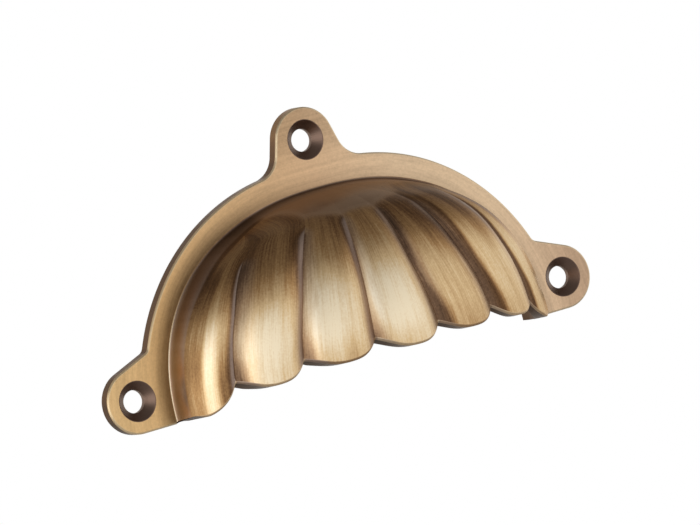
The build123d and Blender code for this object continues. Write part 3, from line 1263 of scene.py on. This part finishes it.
@dataclass(frozen=True)
class AntiqueBrass:
    """Antique brass: dark patina in the hollows, brushed and relieved on the raised parts, with painted light
    and shade.

    Flutes are numbered from 0 at the left to 6 at the right, and the reading "flute" is the number plus the
    share of the way across. Places and heights are in metres. Limits are where a smooth ramp starts and ends,
    and its values there if not 0 and 1.

    Attributes:
        tones: Colours from deep patina to bare brushed brass, with their places on a scale from 0 to 1.
        lit_sweep: Colours of the flange's face from its left end to its right end, a painted light and shade
            across it.
        wall_reflection_tone, roof_tone, cove_highlight_tone, sink_tone, edge_tone: Colours of the painted
        reflection on the walls beside the grooves and in the cove, of the plain roof, of the painted
        highlight line in the cove, of the countersinks and of the rubbed edge.
        tint: Colour of the metal's reflection at a glancing angle.
        gloss: Roughness of the bare brass.
        bump_depth, bump_strength: Depth of the brush marks in metres, and how much of it shows.
        fine, wide, dust: Layers of the brushed surface.
        ring_strokes, flute_strokes: Noise across and along the strokes round the arch and on the flutes.
        stroke_layer: Layer of the noise that the flutes take.
        fall: How the tone of the flutes goes with the height, brighter low down as partly a painted
            reflection and partly
        rubbed brass: where it starts and ends, and its values there.
        roof_level, least_level, inside_level, under_level: Tones of the roof, of the darkest places on the
        flutes, of the hollow and of the underside, whose near-black is a painted shade.
        cast_share: Share of the brush marks that shows on faces left as cast.
        left_shift, right_shift: What is taken from the level by flute at the left, and added at the right.
        plain_roof, stroke_share, open_face: Where the roof counts as plain, where the flutes' strokes take
            over from those round the arch, and where the flange's colour takes over from the shell's.
        wall_start, wall_low, wall_width, wall_shade: Shade on the walls right of the grooves: the mark where
            it starts by flute, how far that moves near the rim, over which span it grows, and its depth.
        cove_dip: How much the cove darkens the tone, from left to right.
        edge_top, edge_low: Tone of the outer edge by height, lighter at the top lug as a painted light, and
            its fall
        near the bottom.
        crown_brush: Factor and base of the brush marks that show through on the roof.
        shoulder, shoulder_right, cove_line, line_base: Where the painted reflection beside the grooves lies:
        by the groove mark, by flute, in the cove, and its share without brush marks.
        cove_highlight_share, wear_share: Shares of the painted highlight line in the cove and of the rubbed
            edge
        with its painted highlight.
        grey: How the colour loses strength beside the grooves.
        flange_top, flange_brush: Painted shade that darkens the flange upwards, and the strength of its brush
            marks.
        foot_dark_reach, foot_dark_across: How far from the shell the flange is darker, and how much across
            it.
        cove_left, cove_right, roof_across: Factors of the cove to the left and right, and of the roof's
            painted light and shade.
        gloss_noise, gloss_spread: Range of the noise that sets the roughness, and what it adds at its ends.
        shell, flange: Sizes that the finish follows.
        lights_and_patina: Places painted darker and brighter on the flutes, mostly painted shade and painted
            highlight.
    """

    tones: Colours = (
        (0.0, (0.030, 0.014, 0.008)),
        (0.25, (0.175, 0.088, 0.038)),
        (0.5, (0.43, 0.25, 0.108)),
        (0.75, (0.72, 0.52, 0.285)),
        (1.0, (0.92, 0.785, 0.565)),
    )
    lit_sweep: Colours = (
        (0.02, (0.69, 0.46, 0.22)),
        (0.14, (0.63, 0.395, 0.18)),
        (0.32, (0.59, 0.38, 0.195)),
        (0.50, (0.64, 0.425, 0.25)),
        (0.66, (0.69, 0.50, 0.32)),
        (0.84, (0.71, 0.52, 0.335)),
        (0.96, (0.52, 0.355, 0.23)),
    )
    wall_reflection_tone: Colour = (0.36, 0.255, 0.20)
    roof_tone: Colour = (0.35, 0.225, 0.14)
    cove_highlight_tone: Colour = (0.80, 0.67, 0.58)
    sink_tone: Colour = (0.19, 0.125, 0.095)
    edge_tone: Colour = (0.86, 0.70, 0.46)
    tint: Colour = (0.96, 0.90, 0.84)
    gloss: float = 0.36
    bump_depth: float = 0.00006
    bump_strength: float = 0.35
    fine: Grain = Grain(1.0, 4.0, 0.7, 0.5)
    wide: Grain = Grain(0.22, 2.0, 0.55, 0.34)
    dust: Grain = Grain(2600.0, 2.0, 0.55, 0.22)
    ring_strokes: tuple[float, float] = (1500.0, 4.0)
    flute_strokes: tuple[float, float] = (55.0, 170.0)
    stroke_layer: float = 7.0
    fall: tuple[float, float, float, float] = (0.0245, 0.010, 0.37, 0.80)
    roof_level: float = 0.37
    least_level: float = 0.19
    inside_level: float = 0.045
    under_level: float = 0.03
    cast_share: float = 0.35
    left_shift: Limits = (1.6, 2.2, -0.0025, 0.0002)
    right_shift: Limits = (2.8, 3.4, 0.0, 0.0004)
    plain_roof: Limits = (0.0, 0.6)
    stroke_share: Limits = (0.3, 0.7)
    open_face: Limits = (0.6, 0.0)
    wall_start: Limits = (3.3, 5.2, 0.82, 0.44)
    wall_low: Limits = (0.010, 0.0, 0.0, 0.22)
    wall_width: float = 0.36
    wall_shade: float = 0.5
    cove_dip: Limits = (0.0, 0.02, 0.16, 0.06)
    edge_top: Limits = (0.036, 0.042, 0.16, 0.36)
    edge_low: Limits = (0.003, 0.0, 0.0, -0.09)
    crown_brush: tuple[float, float] = (1.2, 0.9)
    shoulder: Limits = (-0.68, -0.88)
    shoulder_right: Limits = (3.0, 3.6, 1.0, 0.5)
    cove_line: Limits = (0.2, 0.45)
    line_base: float = 0.6
    cove_highlight_share: float = 0.8
    wear_share: float = 0.7
    grey: Limits = (0.5, 0.9, 1.0, 0.84)
    flange_top: Limits = (0.031, 0.040, 1.0, 0.76)
    flange_brush: float = 1.5
    foot_dark_reach: Limits = (0.0042, 0.0002)
    foot_dark_across: Limits = (-0.03, 0.01, 0.64, 0.20)
    cove_left: Limits = (-0.016, -0.03, 0.5, 1.0)
    cove_right: Limits = (-0.004, 0.010, 0.5, 1.0)
    roof_across: Limits = (-0.022, 0.004, 1.3, 0.88)
    gloss_noise: Limits = (0.2, 0.8)
    gloss_spread: tuple[float, float] = (-0.05, 0.08)
    shell: ShellForm = ShellForm()
    flange: FlangeForm = FlangeForm()
    # Mostly painted shade and painted highlight as light falls from the left; the darker flanks by the foot
    # are partly patina.
    lights_and_patina: tuple[PaintedLightAndPatina, ...] = (
        # Painted shade on the right flutes, turned from the light.
        PaintedLightAndPatina("shaded flutes on the right", -0.10, (("flute", 4.0, 4.4), ("flute", 6.1, 5.0))),
        PaintedLightAndPatina("brighter low left flutes", 0.16, (("flute", 4.0, 3.6), ("level", 0.017, 0.006))),
        PaintedLightAndPatina("walls left of the grooves", -1.0, (("groove", -0.40, -1.0), ("flute", 3.0, 3.6, 0.42, 0.16))),
        PaintedLightAndPatina("right half of the first flute", -1.0,
              (("flute", 0.42, 0.68), ("level", 0.014, 0.002, 0.10, 0.52), ("flute", 1.01, 0.99)), "flow"),
        PaintedLightAndPatina("whole first flute", -0.08, (("flute", 1.02, 0.98),), "flow"),
        PaintedLightAndPatina("top of the first flute", -0.14, (("flute", 0.25, 0.9), ("flute", 1.01, 0.99)), "merge"),
        PaintedLightAndPatina("left flank of the first flute", -1.0,
              (("flute", 0.32, 0.18), ("level", 0.014, 0.006, 0.18, 0.42), ("level", 0.0, 0.006, 0.6, 1.0)),
              "flow"),
        PaintedLightAndPatina("right flank of the last flute", -0.14, (("flute", 6.55, 6.85),), "flow"),
        PaintedLightAndPatina("left flank of the second flute", -0.15, (("flute", 1.38, 1.06), ("flute", 0.98, 1.0))),
        # Darker low down, near the rim of the middle flutes.
        PaintedLightAndPatina("darker low rim", -1.0, (("z", 0.005, -0.003), ("flute", 1.8, 2.2, 0.10, 0.30),
                                    ("flute", 3.9, 3.4, 0.3, 1.0), ("share", 0.85, 0.55, 0.2, 1.0))),
        PaintedLightAndPatina("golden right halves", -0.09,
              (("share", 0.40, 0.66), ("flute", 3.4, 2.9), ("flute", 0.98, 1.02))),
        PaintedLightAndPatina("high right halves", -0.2,
              (("share", 0.35, 0.7), ("flute", 3.9, 4.1), ("level", 0.008, 0.016))),
        PaintedLightAndPatina("left flanks on the right", -0.14, (("share", 0.35, 0.1), ("flute", 3.98, 4.02))),
        # Painted highlight on the middles of the left flutes, low down.
        PaintedLightAndPatina("painted highlight on the centres", 0.06, (("share", 0.1, 0.3), ("share", 0.7, 0.45), ("level", 0.016, 0.011),
                                         ("flute", 4.05, 3.95))),
    )

    def name_readings(self, graph: Graph) -> None:
        """Names what the finish reads at a point: its place, the mesh's marks and what follows from them.

        The level is the height, moved by a little from flute to flute, plain is the share of plain roof, and
        brush is the layers of the brushed surface together, around 0.

        Args:
            graph: The material's nodes.
        """
        place = graph.node("ShaderNodeTexCoord").outputs["Object"]
        x, _, z = graph.split(place)
        read = graph.named
        read.update({name: graph.mark(name) for name in (*MARKS, "zone")}, x=x, z=z)
        read["share"] = graph.math("FRACT", "flute")
        read["merge"] = graph.math("SUBTRACT", 1.0, "flow")
        read["plain"] = graph.ramp("roof", *self.plain_roof)
        moved = graph.math("SUBTRACT", "z", graph.ramp("flute", *self.left_shift))
        read["level"] = graph.total(moved, graph.ramp("flute", *self.right_shift))
        strokes = self.strokes(graph)
        layers = ((self.fine, strokes), (self.wide, strokes), (self.dust, place))
        noises = [graph.noise(source, layer) for layer, source in layers]
        read["fine"] = noises[0]
        read["brush"] = graph.total(*(graph.product(graph.math("SUBTRACT", noise, 0.5), layer.weight)
                                      for noise, (layer, _) in zip(noises, layers)))

    def strokes(self, graph: Graph) -> Socket:
        """Coordinates of the brush strokes: along the flutes on the shell, round the arch elsewhere.

        Args:
            graph: The material's nodes.

        Returns:
            A vector: across the strokes, along them and the layer.
        """
        middle = self.flange.ring_x * MM
        inner = graph.math("MINIMUM", graph.math("MAXIMUM", "x", -middle), middle)
        side = graph.math("SUBTRACT", "x", inner)
        up = graph.math("SUBTRACT", "z", self.flange.ring_z * MM)
        far = graph.math("SQRT", graph.total(graph.product(side, side), graph.product(up, up)))
        turn = graph.math("ARCTAN2", side, up)
        ring = graph.vector(*map(graph.product, (far, turn), self.ring_strokes))
        flute = graph.vector(*map(graph.product, ("flute", "z"), self.flute_strokes), self.stroke_layer)
        share = graph.product("shell", graph.math("SUBTRACT", 1.0, "roof"))
        return graph.blend(graph.ramp(share, *self.stroke_share), ring, flute, "VECTOR")

    def foot_gap(self, graph: Graph) -> Socket:
        """Rough distance in metres outside the shell's foot arch, from the superellipse's own equation.

        Args:
            graph: The material's nodes.

        Returns:
            The distance, less than 0 inside the arch.
        """
        power = self.shell.power
        mean = (self.shell.half_width + self.shell.rise) / 2.0 * MM
        across = graph.math("DIVIDE", graph.math("ABSOLUTE", "x"), self.shell.half_width * MM)
        up = graph.math("SUBTRACT", "z", self.shell.centre_z * MM)
        height = graph.math("MAXIMUM", graph.math("DIVIDE", up, self.shell.rise * MM), 0.0)
        total = graph.total(graph.math("POWER", across, power), graph.math("POWER", height, power))
        return graph.math("MULTIPLY_ADD", graph.math("POWER", total, 1.0 / power), mean, -mean)

    def past(self, graph: Graph, zone: Zone) -> Socket:
        """1 in a zone and the zones after it, 0 in those before it."""
        return graph.ramp("zone", zone.value - 0.6, zone.value - 0.4)

    def before(self, graph: Graph, zone: Zone) -> Socket:
        """1 in the zones before a zone, 0 from it on."""
        return graph.ramp("zone", zone.value - 0.4, zone.value - 0.6)

    def flute_level(self, graph: Graph) -> Socket:
        """Tone of the flutes: brighter downwards, with painted light, patina and painted shade right of the
        grooves.

        Args:
            graph: The material's nodes.

        Returns:
            Place on the scale of tones, before the brush marks.
        """
        # Brighter low down: partly a painted reflection of the bright front, partly rubbed brass.
        tone = graph.ramp("level", *self.fall)
        for spot in self.lights_and_patina:
            tone = graph.total(tone, spot.build(graph))
        lower = graph.ramp("level", *self.wall_low)
        start = graph.math("SUBTRACT", graph.ramp("flute", *self.wall_start), lower)
        walls = graph.ramp("groove", start, graph.total(start, self.wall_width), 0.0, self.wall_shade)
        return graph.math("MAXIMUM", graph.math("SUBTRACT", tone, walls), self.least_level)

    def skin_level(self, graph: Graph) -> Socket:
        """Place on the scale of tones: of the flutes, the roof, the cove, the edges and the unseen faces.

        Args:
            graph: The material's nodes.

        Returns:
            The place, from 0 for deep patina to 1 for bare brass.
        """
        tone = graph.mix("plain", self.flute_level(graph), self.roof_level)
        hollow = graph.product("cove", graph.ramp("x", *self.cove_dip))
        tone = graph.total(graph.math("SUBTRACT", tone, hollow), "brush")
        cast = graph.product("brush", self.cast_share)
        # The outer edge is lighter at the top lug: a painted light.
        edge = graph.total(cast, graph.ramp("z", *self.edge_top), graph.ramp("z", *self.edge_low))
        tone = graph.mix(self.past(graph, Zone.EDGE), tone, edge)
        tone = graph.mix(self.past(graph, Zone.INSIDE), tone, graph.total(cast, self.inside_level))
        # The underside faces take a near-black painted shade.
        return graph.mix(self.past(graph, Zone.UNDER), tone, self.under_level)

    def shell_colour(self, graph: Graph) -> Socket:
        """Colour of the shell, its roof, grooves and cove, and of the countersinks.

        Args:
            graph: The material's nodes.

        Returns:
            The colour.
        """
        colour = graph.steps(self.skin_level(graph), self.tones)
        crown = graph.math("MULTIPLY_ADD", "brush", *self.crown_brush)
        roof = graph.product("plain", crown)
        colour = graph.blend(roof, colour, (*self.roof_tone, 1.0))
        # The walls beside the grooves and in the cove take a painted reflection, a lilac grey.
        right = graph.ramp("flute", *self.shoulder_right)
        shoulder = graph.product(graph.ramp("groove", *self.shoulder), right)
        lines = graph.math("MAXIMUM", shoulder, graph.ramp("cove", *self.cove_line))
        walls = graph.product(lines, graph.total("brush", self.line_base))
        colour = graph.blend(walls, colour, (*self.wall_reflection_tone, 1.0))
        # The painted highlight line in the cove.
        colour = graph.blend(graph.product("line", self.cove_highlight_share), colour, (*self.cove_highlight_tone, 1.0))
        greyed = graph.node("ShaderNodeHueSaturation")
        graph.feed(greyed.inputs["Color"], colour)
        beside = graph.math("ABSOLUTE", "groove")
        graph.feed(greyed.inputs["Saturation"], graph.ramp(beside, *self.grey))
        sinks = graph.product(self.past(graph, Zone.SINK), self.before(graph, Zone.UNDER))
        return graph.blend(sinks, greyed.outputs[0], (*self.sink_tone, 1.0))

    def flange_colour(self, graph: Graph) -> Socket:
        """Colour of the flange's face: painted light and shade from left to right and upwards, darker near
        the cove, with a rubbed edge and its painted highlight.

        Args:
            graph: The material's nodes.

        Returns:
            The colour.
        """
        span = 2.0 * (self.flange.lug_x + self.flange.lug_radius) * MM
        # Painted light and shade across the flange from left to right, and painted shade that darkens it
        # upwards, with brush marks.
        lit_sweep = graph.steps(graph.math("MULTIPLY_ADD", "x", 1.0 / span, 0.5), self.lit_sweep)
        shading = graph.total(graph.ramp("z", *self.flange_top), graph.product("brush", self.flange_brush))
        gap = self.foot_gap(graph)
        # Darker on the flange near the shell's foot, more at the left.
        foot_dark = graph.product(graph.ramp(gap, *self.foot_dark_reach), graph.ramp("x", *self.foot_dark_across))
        face = graph.scale(lit_sweep, graph.product(shading, graph.math("SUBTRACT", 1.0, foot_dark)))
        # The rounded edge: rubbed brass and a painted highlight.
        return graph.blend(graph.product("wear", self.wear_share), face, (*self.edge_tone, 1.0))

    def shade(self, graph: Graph) -> Socket:
        """Factor that darkens the cove's middle, and paints light and shade on the roof: lighter at its left,
        darker at its right.

        Args:
            graph: The material's nodes.

        Returns:
            The factor, 1 where nothing changes.
        """
        left = graph.ramp("x", *self.cove_left)
        right = graph.ramp("x", *self.cove_right)
        cove = graph.mix("cove", 1.0, graph.math("MAXIMUM", left, right))
        roof = graph.mix("plain", 1.0, graph.ramp("x", *self.roof_across))
        return graph.product(cove, roof)

    def material(self) -> bpy.types.Material:
        """Builds the finish.

        Returns:
            The material, which reads the marks of the mesh and its Object coordinates.
        """
        material = bpy.data.materials.new("antique_brass_relieved")
        material.use_nodes = True
        graph = Graph(material.node_tree)
        self.name_readings(graph)
        front = graph.product(self.before(graph, Zone.EDGE), graph.ramp("shell", *self.open_face))
        colour = graph.blend(front, self.shell_colour(graph), self.flange_colour(graph))
        colour = graph.scale(colour, self.shade(graph))
        bump = graph.node("ShaderNodeBump")
        bump.inputs["Strength"].default_value = self.bump_strength
        bump.inputs["Distance"].default_value = self.bump_depth
        graph.feed(bump.inputs["Height"], "fine")
        shader = graph.node("ShaderNodeBsdfPrincipled")
        graph.feed(shader.inputs["Base Color"], colour)
        shader.inputs["Metallic"].default_value = 1.0
        shader.inputs["Specular Tint"].default_value = (*self.tint, 1.0)
        ends = (self.gloss + spread for spread in self.gloss_spread)
        gloss = graph.ramp("fine", *self.gloss_noise, *ends)
        graph.feed(shader.inputs["Roughness"], gloss)
        graph.feed(shader.inputs["Normal"], bump.outputs["Normal"])
        output = graph.node("ShaderNodeOutputMaterial")
        graph.feed(output.inputs["Surface"], shader.outputs[0])
        return material


@dataclass(frozen=True)
class Lamp:
    """One soft lamp of the studio, in metres and watts; it looks at the middle of the casting."""

    name: str
    place: tuple[float, float, float]
    size: float
    power: float

    def add(self, aim: Vector) -> None:
        """Adds the lamp to the scene.

        Args:
            aim: Where it looks.
        """
        data = bpy.data.lights.new(self.name, "AREA")
        data.size = self.size
        data.energy = self.power
        lamp = bpy.data.objects.new(self.name, data)
        way = Vector(self.place) - aim
        lamp.matrix_world = Matrix.Translation(self.place) @ way.to_track_quat("Z", "Y").to_matrix().to_4x4()
        bpy.context.scene.collection.objects.link(lamp)
        LOG.info("%s: %.2f m wide", self.name, self.size)


@dataclass(frozen=True)
class Studio:
    """Plain soft studio: a white world, one soft lamp at the left and a pale floor well below the casting.

    Attributes:
        aim: Where the lamp looks.
        lamp: The lamp.
        floor_drop: Depth of the floor below the origin.
        floor_half: Half the floor's side.
        floor_tone: Grey of the floor.
        floor_mirrored: Grey of the floor where the metal mirrors it.
        above, right, below: How the room that the metal mirrors darkens overhead, to the right and downwards.
        behind, behind_low: Where that room is white, towards the back and below a height.
    """

    aim: tuple[float, float, float] = (-0.0022, -0.012, 0.0143)
    lamp: Lamp = Lamp("left_lamp", (-1.09, -0.50, 0.08), 0.8, 1.7)
    floor_drop: float = 0.45
    floor_half: float = 1.0
    floor_tone: float = 0.97
    floor_mirrored: float = 0.42
    above: Limits = (0.12, 0.75, 1.0, 0.27)
    right: Limits = (0.75, 1.0, 1.0, 0.9)
    below: Limits = (-0.75, -0.25, 0.45, 1.0)
    behind: Limits = (0.6, 0.9)
    behind_low: Limits = (0.4, 0.15)

    def build(self) -> None:
        """Adds the lamp, the world and the floor."""
        self.lamp.add(Vector(self.aim))
        self.add_world()
        self.add_floor()
        bpy.context.scene.view_settings.view_transform = "Standard"

    def add_world(self) -> None:
        """White world that lights the casting evenly; its metal mirrors a room with darker sides."""
        world = bpy.data.worlds.new("studio")
        bpy.context.scene.world = world
        world.use_nodes = True
        graph = Graph(world.node_tree)
        x, y, z = graph.split(graph.node("ShaderNodeTexCoord").outputs["Generated"])
        sides = ((z, self.above), (x, self.right), (z, self.below))
        room = graph.product(*(graph.ramp(way, *limits) for way, limits in sides))
        mirrored = graph.node("ShaderNodeLightPath").outputs["Is Glossy Ray"]
        behind = graph.product(mirrored, graph.ramp(y, *self.behind), graph.ramp(z, *self.behind_low))
        shown = graph.mix(mirrored, 1.0, graph.mix(behind, room, 1.0))
        background = graph.node("ShaderNodeBackground")
        background.inputs["Color"].default_value = (1.0, 1.0, 1.0, 1.0)
        graph.feed(background.inputs["Strength"], shown)
        output = graph.node("ShaderNodeOutputWorld")
        graph.feed(output.inputs["Surface"], background.outputs[0])

    def add_floor(self) -> None:
        """Pale floor well below the casting, a square around the origin."""
        mesh = bpy.data.meshes.new("floor")
        corners = self.floor_half * np.array([[-1.0, -1.0], [1.0, -1.0], [1.0, 1.0], [-1.0, 1.0]])
        places = np.column_stack([corners, np.full(4, -self.floor_drop)])
        mesh.from_pydata(places.tolist(), [], [(0, 1, 2, 3)])
        material = bpy.data.materials.new("floor_white")
        material.use_nodes = True
        graph = Graph(material.node_tree)
        mirrored = graph.node("ShaderNodeLightPath").outputs["Is Glossy Ray"]
        seen, dimmed = ((tone, tone, tone, 1.0) for tone in (self.floor_tone, self.floor_mirrored))
        shader = graph.node("ShaderNodeBsdfDiffuse")
        graph.feed(shader.inputs["Color"], graph.blend(mirrored, seen, dimmed))
        output = graph.node("ShaderNodeOutputMaterial")
        graph.feed(output.inputs["Surface"], shader.outputs[0])
        mesh.materials.append(material)
        floor = bpy.data.objects.new("floor", mesh)
        bpy.context.scene.collection.objects.link(floor)
        LOG.info("floor: %.2f m below the casting", self.floor_drop)


@dataclass(frozen=True)
class View:
    """Camera at the photograph's viewing angle; angles in degrees, lengths in metres."""

    azimuth: float = -28.156858
    elevation: float = 4.014369
    roll: float = -13.851867
    aim: tuple[float, float, float] = (-0.002195, -0.012, 0.014299)
    distance: float = 1.139527
    focal_pixels: float = 6266.7
    image_width: int = 700
    sensor_mm: float = 36.0
    clip: tuple[float, float] = (0.05, 50.0)

    def add(self) -> None:
        """Adds the camera and makes it the scene's."""
        turn, rise, roll = (math.radians(angle) for angle in (self.azimuth, self.elevation, self.roll))
        back = Vector((math.sin(turn) * math.cos(rise), -math.cos(turn) * math.cos(rise), math.sin(rise)))
        right = (-back).cross(Vector((0.0, 0.0, 1.0))).normalized()
        up = right.cross(-back)
        rolled_right = math.cos(roll) * right + math.sin(roll) * up
        rolled_up = math.cos(roll) * up - math.sin(roll) * right
        matrix = Matrix((rolled_right, rolled_up, back)).transposed().to_4x4()
        matrix.translation = Vector(self.aim) + back * self.distance
        data = bpy.data.cameras.new("photo_view")
        data.sensor_fit = "HORIZONTAL"
        data.sensor_width = self.sensor_mm
        data.lens = self.focal_pixels * self.sensor_mm / self.image_width
        data.clip_start, data.clip_end = self.clip
        camera = bpy.data.objects.new("photo_view", data)
        camera.matrix_world = matrix
        bpy.context.scene.collection.objects.link(camera)
        bpy.context.scene.camera = camera
        LOG.info("photo_view: %.2f m away", self.distance)


def main() -> None:
    """Dresses the CAD frame, lights it and sets the camera."""
    logging.basicConfig(level=logging.INFO)
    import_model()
    casting = Casting().build()
    casting.data.materials.append(AntiqueBrass().material())
    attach(casting, "root")
    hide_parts("cup_pull")
    LOG.info("casting: %d corners, %d faces", len(casting.data.vertices), len(casting.data.polygons))
    Studio().build()
    View().add()


if __name__ == "__main__":
    main()
